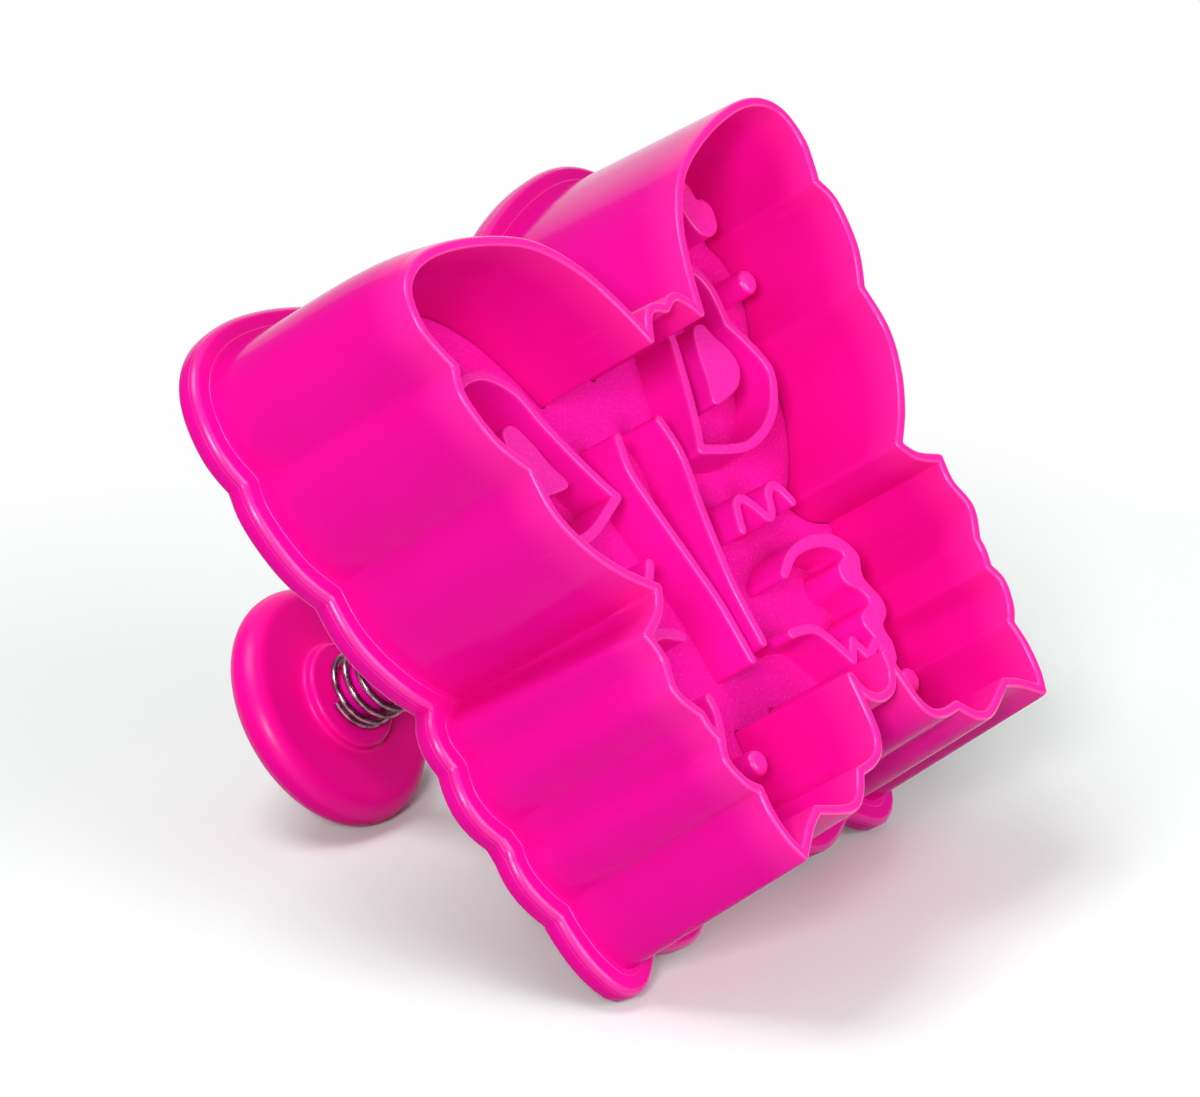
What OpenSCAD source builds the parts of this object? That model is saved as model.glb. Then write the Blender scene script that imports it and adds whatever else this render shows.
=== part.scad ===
// Butterfly plunger cutter: a thin cutting wall in the outline of a butterfly,
// and inside it a sprung stamp that embosses the dough and pushes it out.
// It stands on its cutting edge with the knob up. X runs across the wings, Y towards the head.

/* [Butterfly] */
// Span of the wing outline, at the middle of the cutting wall
wing_span = 70; // [60:1:90]
// Place of the plunger's axis, from the middle of the outline towards the head
axis_y = 0.65; // [-1:0.05:1.5]

/* [Cutting wall] */
// Thickness of the cutting wall
wall_t = 1; // [0.8:0.1:1.6]
// Height of the wall, from the cutting edge to the flange
wall_h = 22.5; // [21:0.5:30]
// Flare of the wall's outer face at the corners of the wings, up to the flange
wall_flare = 1.9; // [0.5:0.1:2.5]

/* [Flange] */
// Reach of the flange beyond the wing outline
flange_reach = 4.35; // [4:0.05:6]
// Thickness of the flange and the roof
roof_t = 2.3; // [1.8:0.1:3]
// Width of the slope along the flange's front edge, at the corners of the wings
edge_w = 0.9; // [0.4:0.1:1.2]
// Height of that slope
edge_h = 0.6; // [0.3:0.1:1]

/* [Guide] */
// Wall of the sleeve that guides the stem below the roof
sleeve_wall = 2.3; // [1.2:0.1:4]
// Length of the guide sleeve
sleeve_h = 4; // [2:0.1:5]
// Wall of the ring that keeps the spring in place on the roof
seat_wall = 1.2; // [0.8:0.1:2]
// Height of the spring's seat ring
seat_h = 1.6; // [0.8:0.1:3]

/* [Stamp] */
// Depth of the relief's top below the cutting edge, at rest
relief_depth = 9.5; // [8:0.1:11]
// Height of the ridges, patches and pegs above the plate
relief_h = 4.5; // [2:0.1:5]
// Diameter of the pegs
peg_d = 2.5; // [1.6:0.1:3]
// Width of the ridges
ridge_w = 1; // [0.6:0.1:1.4]
// Thickness of the stamp plate
plate_t = 2; // [1.6:0.1:2.5]
// Gap between the stamp and the cutting wall
stamp_gap = 0.3; // [0.2:0.05:0.8]
// Wall of the hub that takes the stem
hub_wall = 2.3; // [1.2:0.1:4]
// Depth of the stem's socket below the plate's back
socket_sink = 0.8; // [0:0.1:1]

/* [Plunger] */
// Travel of the plunger
press_travel = 9; // [5:0.1:9.4]
// Diameter of the stem inside the spring
stem_d = 5.2; // [4.6:0.1:6]
// Width of the stem's shoulder, which stops the travel on the roof
shoulder_w = 0.5; // [0.3:0.05:0.8]
// Depth to which the stem enters the knob
stem_entry = 1.4; // [1:0.1:3]

/* [Spring] */
// Diameter of the spring's wire
wire_d = 0.7; // [0.5:0.05:0.8]
// Gap between the spring and the stem
coil_gap = 0.6; // [0.3:0.1:0.8]
// Length of the spring at rest
spring_len = 27.8; // [24:0.1:32]
// Turns of the spring
spring_turns = 18; // [8:1:20]

/* [Knob] */
// Diameter of the knob
knob_d = 24.1; // [22:0.1:30]
// Radius of the knob's rounded rim
rim_r = 2; // [1:0.1:2.4]
// Width of the flat between the rounded rim and the cap
rim_flat = 0.6; // [0.3:0.1:1.2]
// Diameter of the ring on the knob's underside
boss_d = 10.8; // [9.5:0.1:12]
// Height of the ring on the knob's underside
boss_h = 1.2; // [0.4:0.1:1.6]
// Thickness of the web between the stem and the screw's head
web_t = 0.8; // [0.6:0.1:2]
// Width of the ledge that carries the cap
ledge_w = 1.4; // [0.8:0.1:2]
// Room between the screw's head and the cap
head_room = 0.3; // [0.2:0.1:2]
// Thickness of the cap at its edge
cap_t = 0.8; // [0.6:0.1:2]
// Height of the cap's dome above the knob's top
cap_dome = 0.6; // [0.2:0.1:1]

/* [Screw] */
// Diameter of the screw's shank
screw_d = 2.4; // [2:0.1:2.8]
// Diameter of the screw's head
head_d = 4.8; // [4:0.1:5.5]
// Height of the screw's head
head_h = 0.9; // [0.6:0.1:1.4]
// Length of the screw below its head
screw_len = 8; // [6:0.5:12]

/* [Hidden] */

// Clearances
slide_gap = 0.08;
seat_gap = 0.4;
stop_gap = 0.2;
fit_gap = 0.05;
overlap = 0.5;

// Round sizes that follow from the stem
guide_d = stem_d - 2 * shoulder_w;
bore_d = guide_d + 2 * slide_gap;
socket_d = guide_d + 2 * fit_gap;
spring_d = stem_d + 2 * (coil_gap + wire_d);
seat_d = spring_d + 2 * seat_gap;

// Round sizes that follow from the knob
knob_h = stem_entry + web_t + head_h + head_room + cap_t;
rim = min(rim_r, knob_h / 2 - fit_gap);
cap_d = knob_d - 2 * (rim + rim_flat);
hollow_d = cap_d - 2 * ledge_w;

// Levels, counted up from the cutting edge
roof_z = wall_h;
roof_top = roof_z + roof_t;
plate_z = relief_depth + relief_h;
plate_back = plate_z + plate_t;
socket_z = plate_back - socket_sink;
sleeve_z = roof_z - sleeve_h;
hub_top = sleeve_z - stop_gap;
shoulder_z = roof_top + press_travel + stop_gap;
boss_z = roof_top + spring_len;
knob_z = boss_z + boss_h;
knob_top = knob_z + knob_h;
stem_top = knob_z + stem_entry;
web_top = stem_top + web_t;
cap_z = knob_top - cap_t;
stamp_inset = -wall_t / 2 - stamp_gap;

// Shades
PINK = [1, 0.09, 0.63];
STEEL = [0.72, 0.72, 0.74];

// The drawn outline is for a span of 70, and grows with the span.
grow = wing_span / 70;
steps = 3;

// Half of the outline from the head to the tail: each list is one lobe, and the lobes meet in notches.
LOBES = [
    [[0, 17.2], [1.2, 17.65], [2.4, 17.7], [3.5, 16.9], [4.7, 15.4]],
    [[4.7, 15.4], [6.6, 19.6], [9.5, 24], [14, 27.7], [20.5, 29.9], [27, 30.85], [31.5, 30.4],
        [34.2, 28.6], [35, 25.4], [34.2, 22.7], [33.5, 21.2]],
    [[33.5, 21.2], [34.7, 18.6], [33.8, 14], [31.2, 10.3]],
    [[31.2, 10.3], [31.4, 5.8], [29.6, 1.8], [26.6, -1.6], [23.2, -4.2]],
    [[23.2, -4.2], [25, -6], [28.3, -7.3]],
    [[28.3, -7.3], [27.9, -9.8], [28.8, -12.8], [27, -15.6]],
    [[27, -15.6], [26.9, -17], [26.3, -18.4]],
    [[26.3, -18.4], [27.2, -20.3], [26.3, -22.6], [24.9, -23.9]],
    [[24.9, -23.9], [25.2, -26.4], [24.8, -29], [23.9, -30.85]],
    [[23.9, -30.85], [21.2, -29.2], [18.7, -28.2]],
    [[18.7, -28.2], [14.2, -29.7], [11.8, -29.3], [9.7, -27.5]],
    [[9.7, -27.5], [7.1, -27.4], [5.2, -26.6], [4.1, -24.6], [3.4, -20]],
    [[3.4, -20], [2.8, -21.7], [1.5, -22.8], [0, -23.1]],
];

// Ridges that both wings of the stamp have, one half: the wing cell's two sides and the hind wing's zigzag.
RIDGES = [
    [[7.9, 4.5], [9.2, 6.6], [10.9, 10], [12.5, 13.7], [13.8, 17.2], [16.5, 19.6], [19.5, 20.2],
        [21.9, 19.4], [22.9, 17], [22.4, 13.6]],
    [[22.4, 13.6], [23.9, 11], [24.9, 8], [23.4, 5.6], [21, 3.9], [17.8, 2.9], [14, 2.8], [7.9, 4.5]],
    [[12.7, -19.5], [14.3, -18]],
    [[14.3, -18], [15.4, -20.1]],
    [[15.4, -20.1], [17.6, -19.2]],
];

// Ridges that are drawn by hand for each wing: the body's side, a squiggle and the hind wing's curl.
// Those of the left wing are given as seen in its mirror.
RIGHT_RIDGES = [
    [[3.1, 9.1], [3.9, 6.8], [4, 4.6], [3.4, 0.6], [2.6, -4], [1.9, -8.8], [1.9, -14.4]],
    [[8.6, -2.2], [10.1, -3.5], [11.6, -4.3], [12.9, -3.8], [14, -2.3], [15.2, -1.7], [16.2, -2.3], [17, -3.9]],
    [[11, -15.4], [11.2, -17], [12.7, -19.5]],
];
LEFT_RIDGES = [
    [[4.3, 8.7], [4.7, 5.7], [4.3, 3.4], [3.3, 0.4], [2.3, -3.6], [1.4, -8], [1.1, -13.6]],
    [[7.3, -3.8], [8.4, -1.7], [9.7, -1.3], [10.9, -2.4], [12.1, -4], [13.2, -3.7], [14, -2.3],
        [15.2, -1.7], [16.2, -2.3], [17, -3.9]],
    [[5.9, -14.4], [7.6, -14.6], [9.6, -15.2], [11, -16.7], [12.7, -19.5]],
];

// Raised patches of the stamp, one half: the wing cell's leaf, the wing tip's spot and the hind wing's ribbon.
PATCHES = [
    [[13.7, 7.6], [16.4, 7.5], [18.8, 8], [20.4, 9.4], [20.4, 11.2], [19.3, 13], [18.5, 14.6], [16.8, 14.6],
        [15.6, 12.6], [14.7, 10]],
    [[25.3, 24.8], [25.9, 22.5], [27.4, 21.6], [29.2, 22.1], [30, 24], [29.3, 25.1], [28.4, 25.4], [28.3, 26.9],
        [27.2, 28.2], [25.8, 27.2]],
    [[9.5, -9], [12.2, -7.7], [16, -7.4], [20.2, -8.5], [22.3, -11.2], [21.2, -13.5], [22.1, -16], [21.6, -17.5],
        [20, -18.4], [20, -20.2], [18.9, -21.9], [17.4, -20.8], [17.8, -19.2], [17.3, -17.4], [17.9, -16.3],
        [20, -15.7], [19.6, -14.4], [18.1, -13], [18.4, -11.4], [20.2, -10.6], [17.6, -9], [13.2, -8.6],
        [9.9, -9.8]],
];

// Middles of the pegs, one half.
PEGS = [[29.4, 16.2], [19.8, -24], [9, -22.6]];

// A smooth curve through points, and its closed form.
function blend(a, b, c, d, t) =
    0.5 * (2 * b + (c - a) * t + (2 * a - 5 * b + 4 * c - d) * t * t + (3 * b - a - 3 * c + d) * t * t * t);
function curve(p) = let (last = len(p) - 1) [
    for (i = [0 : last - 1], k = [0 : steps - 1])
        blend(p[max(i - 1, 0)], p[i], p[i + 1], p[min(i + 2, last)], k / steps),
    p[last]
];
function loop(p) = let (n = len(p)) [
    for (i = [0 : n - 1], k = [0 : steps - 1])
        blend(p[(i + n - 1) % n], p[i], p[(i + 1) % n], p[(i + 2) % n], k / steps)
];

half_outline = [for (lobe = LOBES) let (c = curve(lobe)) for (i = [0 : len(c) - 2]) c[i]];
tail = LOBES[len(LOBES) - 1];
other_half = [for (i = [len(half_outline) - 1 : -1 : 1]) [-half_outline[i].x, half_outline[i].y]];
whole_outline = grow * concat(half_outline, [tail[len(tail) - 1]], other_half);

// The butterfly, grown outwards or, below zero, inwards.
module butterfly(reach) {
    offset(r = reach, $fn = 16) polygon(whole_outline);
}

// The grown butterfly with sides that lean out by a flare at its farthest corner.
corner_r = max([for (p = whole_outline) norm(p)]);
module flared(height, reach, flare) {
    linear_extrude(height, scale = 1 + flare / (corner_r + reach)) butterfly(reach);
}

// A thin ribbon along a path.
function heading(p, i) = let (d = p[min(i + 1, len(p) - 1)] - p[max(i - 1, 0)]) atan2(d.y, d.x);
function beside(p, i, w) = p[i] + w / 2 * [cos(heading(p, i) + 90), sin(heading(p, i) + 90)];
function ribbon(p, w) = let (last = len(p) - 1) concat(
    [for (i = [0 : last]) beside(p, i, -w)],
    [for (i = [last : -1 : 0]) beside(p, i, w)]
);

module ridge_lines(paths, w) {
    for (path = paths) polygon(ribbon(grow * curve(path), w));
}

module both_sides() {
    children();
    mirror([1, 0, 0]) children();
}

// A round solid about the plunger's axis, from its profile of radius and height.
module turned(profile) {
    translate([0, axis_y, 0]) rotate_extrude($fn = 96) polygon(profile);
}

function arc(middle, radius, from, to, n = 8) =
    [for (k = [0 : n]) middle + radius * [cos(from + (to - from) * k / n), sin(from + (to - from) * k / n)]];

module cutter_shell() {
    color(PINK) difference() {
        union() {
            difference() {
                union() {
                    flared(wall_h + overlap, wall_t / 2, wall_flare);
                    translate([0, 0, roof_z]) flared(edge_h, flange_reach - edge_w, edge_w);
                    translate([0, 0, roof_z + edge_h]) linear_extrude(roof_t - edge_h) butterfly(flange_reach);
                }
                translate([0, 0, -overlap]) linear_extrude(roof_z + overlap) butterfly(-wall_t / 2);
            }
            translate([0, axis_y, sleeve_z])
                cylinder(h = sleeve_h + overlap, d = bore_d + 2 * sleeve_wall, $fn = 64);
            translate([0, axis_y, roof_top - overlap])
                cylinder(h = seat_h + overlap, d = seat_d + 2 * seat_wall, $fn = 64);
        }
        translate([0, axis_y, roof_top]) cylinder(h = seat_h + overlap, d = seat_d, $fn = 64);
        translate([0, axis_y, sleeve_z - overlap])
            cylinder(h = sleeve_h + roof_t + 2 * overlap, d = bore_d, $fn = 64);
    }
}

// The relief seen from the cutting edge: ridges with round ends, and patches with round corners.
module relief() {
    thread = 0.1;
    round_r = (ridge_w - thread) / 2;
    offset(r = round_r, $fn = 16) {
        both_sides() ridge_lines(RIDGES, thread);
        ridge_lines(RIGHT_RIDGES, thread);
        mirror([1, 0, 0]) ridge_lines(LEFT_RIDGES, thread);
        offset(delta = -round_r) both_sides() for (patch = PATCHES) polygon(grow * loop(patch));
    }
}

module stamp_plate() {
    color(PINK) difference() {
        union() {
            translate([0, 0, plate_z]) linear_extrude(plate_t) butterfly(stamp_inset);
            translate([0, 0, relief_depth]) linear_extrude(relief_h + overlap) relief();
            for (peg = PEGS, side = [-1, 1])
                translate([side * grow * peg.x, grow * peg.y, relief_depth])
                    cylinder(h = relief_h + overlap, d = peg_d, $fn = 32);
            translate([0, axis_y, plate_back - overlap])
                cylinder(h = hub_top - plate_back + overlap, d = socket_d + 2 * hub_wall, $fn = 64);
        }
        translate([0, axis_y, socket_z]) cylinder(h = hub_top - socket_z + overlap, d = socket_d, $fn = 64);
    }
}

module plunger_stem() {
    pilot_z = web_top - screw_len - overlap;
    color(PINK) turned([
        [0, socket_z],
        [guide_d / 2, socket_z],
        [guide_d / 2, shoulder_z],
        [stem_d / 2, shoulder_z],
        [stem_d / 2, stem_top],
        [screw_d / 2 + fit_gap, stem_top],
        [screw_d / 2 + fit_gap, pilot_z],
        [0, pilot_z],
    ]);
}

// The spring's wire runs close at both ends, and at an even pitch between them.
end_turns = 1;
coil_low = roof_top + fit_gap + wire_d / 2;
coil_high = boss_z - fit_gap - wire_d / 2;
coil_rise = wire_d + fit_gap;
open_pitch = (coil_high - coil_low - 2 * end_turns * coil_rise) / (spring_turns - 2 * end_turns);
function coil_z(turn) = coil_low
    + coil_rise * (min(turn, end_turns) + max(turn - spring_turns + end_turns, 0))
    + open_pitch * (min(turn, spring_turns - end_turns) - min(turn, end_turns));

module return_spring() {
    per_turn = 12;
    sides = 8;
    rings = spring_turns * per_turn;
    coil_r = (spring_d - wire_d) / 2;
    points = [
        for (i = [0 : rings], k = [0 : sides - 1])
            let (a = 360 * i / per_turn, b = 360 * k / sides, r = coil_r + wire_d / 2 * cos(b))
                [r * cos(a), axis_y + r * sin(a), coil_z(i / per_turn) + wire_d / 2 * sin(b)]
    ];
    skin = [
        for (i = [0 : rings - 1], k = [0 : sides - 1])
            let (a = i * sides + k, b = i * sides + (k + 1) % sides)
                each [[a, b, b + sides], [a, b + sides, a + sides]]
    ];
    ends = [[for (k = [sides - 1 : -1 : 0]) k], [for (k = [0 : sides - 1]) rings * sides + k]];
    color(STEEL) polyhedron(points, concat(skin, ends));
}

module knob() {
    rim_x = knob_d / 2 - rim;
    stem_hole = stem_d / 2 + fit_gap;
    screw_hole = screw_d / 2 + slide_gap;
    cap_hole = cap_d / 2 + fit_gap;
    color(PINK) turned(concat(
        [[stem_hole, boss_z], [boss_d / 2, boss_z], [boss_d / 2, knob_z]],
        arc([rim_x, knob_z + rim], rim, -90, 0),
        arc([rim_x, knob_top - rim], rim, 0, 90),
        [[cap_hole, knob_top], [cap_hole, cap_z]],
        [[hollow_d / 2, cap_z], [hollow_d / 2, web_top], [screw_hole, web_top]],
        [[screw_hole, stem_top], [stem_hole, stem_top]]
    ));
}

module knob_cap() {
    r = cap_d / 2;
    dome_r = (r * r + cap_dome * cap_dome) / (2 * cap_dome);
    half_angle = asin(r / dome_r);
    color(PINK) turned(concat(
        [[0, cap_z], [r, cap_z]],
        arc([0, knob_top + cap_dome - dome_r], dome_r, 90 - half_angle, 90)
    ));
}

module stem_screw() {
    cross_w = 0.8;
    cross_l = head_d * 0.55;
    color(STEEL) difference() {
        turned([
            [0, web_top - screw_len],
            [screw_d / 2, web_top - screw_len + screw_d / 2],
            [screw_d / 2, web_top],
            [head_d / 2, web_top],
            [head_d / 2, web_top + head_h / 2],
            [head_d / 3, web_top + head_h],
            [0, web_top + head_h],
        ]);
        for (turn = [0, 90])
            translate([0, axis_y, 0]) rotate(turn)
                translate([-cross_l / 2, -cross_w / 2, web_top + head_h / 3])
                cube([cross_l, cross_w, head_h]);
    }
}

cutter_shell();
stamp_plate();
plunger_stem();
return_spring();
knob();
knob_cap();
stem_screw();
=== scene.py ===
"""Looks of the butterfly plunger cutter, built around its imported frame.

The cutter stands on its cutting edge with the knob up, as its frame does. The floor is tilted instead, so
that the cutter leans on its knob and on the flange of its lower wings. Lengths in the classes are in
millimetres.
"""

import logging
import math
from dataclasses import dataclass
from enum import Enum
from typing import Mapping, Optional, Sequence, Union

import bmesh
import bpy
import numpy as np
from mathutils import Matrix, Vector


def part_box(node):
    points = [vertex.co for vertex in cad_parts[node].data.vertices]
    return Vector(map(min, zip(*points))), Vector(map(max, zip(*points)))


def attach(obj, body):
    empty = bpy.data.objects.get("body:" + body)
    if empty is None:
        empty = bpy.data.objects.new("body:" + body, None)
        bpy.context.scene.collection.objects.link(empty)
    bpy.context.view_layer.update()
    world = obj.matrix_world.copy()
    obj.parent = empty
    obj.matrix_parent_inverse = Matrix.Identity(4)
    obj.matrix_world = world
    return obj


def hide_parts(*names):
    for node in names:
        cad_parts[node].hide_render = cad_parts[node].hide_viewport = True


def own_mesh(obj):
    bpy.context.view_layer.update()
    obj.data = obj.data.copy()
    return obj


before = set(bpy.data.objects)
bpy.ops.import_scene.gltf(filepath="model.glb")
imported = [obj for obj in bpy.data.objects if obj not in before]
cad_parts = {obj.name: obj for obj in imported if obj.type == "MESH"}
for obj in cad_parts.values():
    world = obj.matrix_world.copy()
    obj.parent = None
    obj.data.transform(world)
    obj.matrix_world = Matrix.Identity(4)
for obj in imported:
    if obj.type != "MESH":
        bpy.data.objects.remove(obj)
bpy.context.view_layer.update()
LOG = logging.getLogger("plunger_cutter")

MM = 0.001  # metres
WELD = 1e-6  # metres within which vertices become one
PER_SPAN = 24  # samples of a curve between two of its points
Point = Sequence[float]
Pair = tuple[float, float]
Triple = tuple[float, float, float]
Colour = Triple

# Half of the wing outline, from the head's notch to the tail's. Each row is one lobe, and lobes meet in
# notches. The head and the tail lie across the middle.
HEAD = [(-4.7, 15.4), (-3.5, 16.9), (-2.4, 17.7), (-1.2, 17.65), (0, 17.2), (1.2, 17.65), (2.4, 17.7),
        (3.5, 16.9), (4.7, 15.4)]
WING = [
    [(4.7, 15.4), (6.6, 19.6), (9.5, 24), (14, 27.7), (20.5, 29.9), (27, 30.85), (31.5, 30.4),
     (34.2, 28.6), (35, 25.4), (34.2, 22.7), (33.5, 21.2)],
    [(33.5, 21.2), (34.7, 18.6), (33.8, 14), (31.2, 10.3)],
    [(31.2, 10.3), (31.4, 5.8), (29.6, 1.8), (26.6, -1.6), (23.2, -4.2)],
    [(23.2, -4.2), (25, -6), (28.3, -7.3)],
    [(28.3, -7.3), (27.9, -9.8), (28.8, -12.8), (27, -15.6)],
    [(27, -15.6), (26.9, -17), (26.3, -18.4)],
    [(26.3, -18.4), (27.2, -20.3), (26.3, -22.6), (24.9, -23.9)],
    [(24.9, -23.9), (25.2, -26.4), (24.8, -29), (23.9, -30.85)],
    [(23.9, -30.85), (21.2, -29.2), (18.7, -28.2)],
    [(18.7, -28.2), (14.2, -29.7), (11.8, -29.3), (9.7, -27.5)],
    [(9.7, -27.5), (7.1, -27.4), (5.2, -26.6), (4.1, -24.6), (3.4, -20)],
]
TAIL = [(3.4, -20), (2.8, -21.7), (1.5, -22.8), (0, -23.1), (-1.5, -22.8), (-2.8, -21.7), (-3.4, -20)]

# Relief of the stamp, one half: the wing cell's two sides, the strokes drawn for each wing, the zigzag at
# the end of the hind wing's curl, the patches and the pegs.
CELL = [
    [(7.9, 4.5), (9.2, 6.6), (10.9, 10), (12.5, 13.7), (13.8, 17.2), (16.5, 19.6), (19.5, 20.2),
     (21.9, 19.4), (22.9, 17), (22.4, 13.6)],
    [(22.4, 13.6), (23.9, 11), (24.9, 8), (23.4, 5.6), (21, 3.9), (17.8, 2.9), (14, 2.8), (7.9, 4.5)],
]
RIGHT_SIDE = [(3.1, 9.1), (3.9, 6.8), (4, 4.6), (3.4, 0.6), (2.6, -4), (1.9, -8.8), (1.9, -14.4)]
RIGHT_SQUIGGLE = [(8.6, -2.2), (10.1, -3.5), (11.6, -4.3), (12.9, -3.8), (14, -2.3), (15.2, -1.7),
                  (16.2, -2.3), (17, -3.9)]
RIGHT_CURL = [(11, -15.4), (11.2, -17), (12.7, -19.5)]
LEFT_SIDE = [(4.3, 8.7), (4.7, 5.7), (4.3, 3.4), (3.3, 0.4), (2.3, -3.6), (1.4, -8), (1.1, -13.6)]
LEFT_SQUIGGLE = [(7.3, -3.8), (8.4, -1.7), (9.7, -1.3), (10.9, -2.4), (12.1, -4), (13.2, -3.7),
                 (14, -2.3), (15.2, -1.7), (16.2, -2.3), (17, -3.9)]
LEFT_CURL = [(5.9, -14.4), (7.6, -14.6), (9.6, -15.2), (11, -16.7), (12.7, -19.5)]
ZIGZAG = [(12.7, -19.5), (14.3, -18), (15.4, -20.1), (17.6, -19.2)]
PATCHES = [
    [(13.7, 7.6), (16.4, 7.5), (18.8, 8), (20.4, 9.4), (20.4, 11.2), (19.3, 13), (18.5, 14.6),
     (16.8, 14.6), (15.6, 12.6), (14.7, 10)],
    [(25.3, 24.8), (25.9, 22.5), (27.4, 21.6), (29.2, 22.1), (30, 24), (29.3, 25.1), (28.4, 25.4),
     (28.3, 26.9), (27.2, 28.2), (25.8, 27.2)],
    [(9.5, -9), (12.2, -7.7), (16, -7.4), (20.2, -8.5), (22.3, -11.2), (21.2, -13.5), (22.1, -16),
     (21.6, -17.5), (20, -18.4), (20, -20.2), (18.9, -21.9), (17.4, -20.8), (17.8, -19.2), (17.3, -17.4),
     (17.9, -16.3), (20, -15.7), (19.6, -14.4), (18.1, -13), (18.4, -11.4), (20.2, -10.6), (17.6, -9),
     (13.2, -8.6), (9.9, -9.8)],
]
PEGS = [(29.4, 16.2), (19.8, -24), (9, -22.6)]


def mirrored(points: Sequence[Point]) -> list[Pair]:
    """The points on the other side of the butterfly, in the opposite order."""
    return [(-x, y) for x, y in reversed(points)]


def even(points: np.ndarray, spacing: float, closed: bool) -> np.ndarray:
    """Places points evenly along a polyline.

    Args:
        points: The polyline.
        spacing: The distance between the new points, in millimetres.
        closed: Whether the last point joins the first.

    Returns:
        The new points. An open polyline keeps both ends.
    """
    line = np.vstack([points, points[:1]]) if closed else points
    reach = np.concatenate([[0.0], np.cumsum(np.linalg.norm(np.diff(line, axis=0), axis=1))])
    count = max(2, round(reach[-1] / spacing))
    places = np.linspace(0.0, reach[-1], count + 1)
    if closed:
        places = places[:-1]
    return np.column_stack([np.interp(places, reach, line[:, axis]) for axis in (0, 1)])


def through(points: Sequence[Point], spacing: float, closed: bool = False) -> np.ndarray:
    """Samples a smooth curve that passes through points.

    Args:
        points: The points that the curve passes through.
        spacing: The distance between samples, in millimetres.
        closed: Whether the curve returns to its first point.

    Returns:
        Evenly spaced samples of the curve.
    """
    own = np.asarray(points, float)
    before, after = (own[-1:], own[:2]) if closed else (own[:1], own[-1:])
    knots = np.vstack([before, own, after])
    t = np.linspace(0.0, 1.0, PER_SPAN, endpoint=False)[:, None]
    spans = [
        0.5 * (2 * b + (c - a) * t + (2 * a - 5 * b + 4 * c - d) * t**2 + (3 * b - a - 3 * c + d) * t**3)
        for a, b, c, d in zip(knots, knots[1:], knots[2:], knots[3:])
    ]
    dense = np.vstack(spans if closed else [*spans, own[-1:]])
    return even(dense, spacing, closed)


class Outline:
    """A closed outline with corners, which can be moved out or in with one point for each of its own.

    Attributes:
        SAME: Distance within which two points are one.
        CORNER: Turn for each step of the fan round a corner.
        BACK: Turn from which the outline doubles back on itself.
        SLACK: How much nearer than its reach a moved point may lie.
        ISLAND: Number of clear points in a row from which they count.
        BLOCK: Number of points that are measured at a time.
    """

    SAME = 1e-4
    CORNER = math.radians(24)
    BACK = math.radians(179)
    SLACK = 0.012
    ISLAND = 3
    BLOCK = 200

    def __init__(self, points: np.ndarray) -> None:
        """Finds the outline's corners and normals.

        Args:
            points: The outline's points, in either direction.
        """
        x, y = points.T
        if np.sum(x * np.roll(y, -1) - y * np.roll(x, -1)) > 0:
            points = points[::-1]
        gone = np.linalg.norm(points - np.roll(points, 1, axis=0), axis=1) < self.SAME
        self.line = points[~gone]
        ahead = np.roll(self.line, -1, axis=0) - self.line
        angle_out = np.arctan2(ahead[:, 0], -ahead[:, 1])
        spots, angles = [], []
        for i, spot in enumerate(self.line):
            turn = (angle_out[i] - angle_out[i - 1] + math.pi) % math.tau - math.pi
            if abs(turn) > self.BACK:
                turn = -math.pi
            fan = int(abs(turn) / self.CORNER)
            steps = np.linspace(0, 1, fan + 3) if fan else [0.5]
            for share in steps:
                spots.append(spot)
                angles.append(angle_out[i - 1] + turn * share)
        self.points = np.array(spots)
        self.normals = np.column_stack([np.cos(angles), np.sin(angles)])

    @classmethod
    def along(cls, path: np.ndarray) -> "Outline":
        """An outline without width, which runs along a path and back."""
        return cls(np.vstack([path, path[-2:0:-1]]))

    def distance(self, points: np.ndarray) -> np.ndarray:
        """How far each point lies from the outline."""
        start = self.line
        edge = np.roll(start, -1, axis=0) - start
        square = np.maximum(np.sum(edge * edge, axis=1), 1e-12)
        found = []
        for block in np.array_split(points, max(1, len(points) // self.BLOCK)):
            away = block[:, None, :] - start[None]
            share = np.clip(np.sum(away * edge[None], axis=2) / square[None], 0, 1)
            found.append(np.linalg.norm(away - share[..., None] * edge[None], axis=2).min(axis=1))
        return np.concatenate(found)

    def moved(self, reach: float) -> np.ndarray:
        """Moves the outline.

        Args:
            reach: How far outwards, or below zero inwards, in millimetres.

        Returns:
            The moved outline. Points that would cross a neighbour gather where the moved sides meet.
        """
        ring = self.points + reach * self.normals
        clear = self.distance(ring) >= abs(reach) - self.SLACK
        if clear.all():
            return ring
        count = len(ring)
        first = int(np.argmax(~clear))
        order = [(first + i) % count for i in range(count)]
        runs: list[list[int]] = []
        for i in order:
            if runs and clear[i] == clear[runs[-1][-1]]:
                runs[-1].append(i)
            else:
                runs.append([i])
        for run in runs:
            if clear[run[0]] and len(run) < self.ISLAND:
                clear[run] = False
        kept = np.flatnonzero(clear)
        for i in np.flatnonzero(~clear):
            after = kept[np.searchsorted(kept, i) % len(kept)]
            before = kept[np.searchsorted(kept, i) - 1]
            ring[i] = (ring[before] + ring[after]) / 2
        return ring


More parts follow.
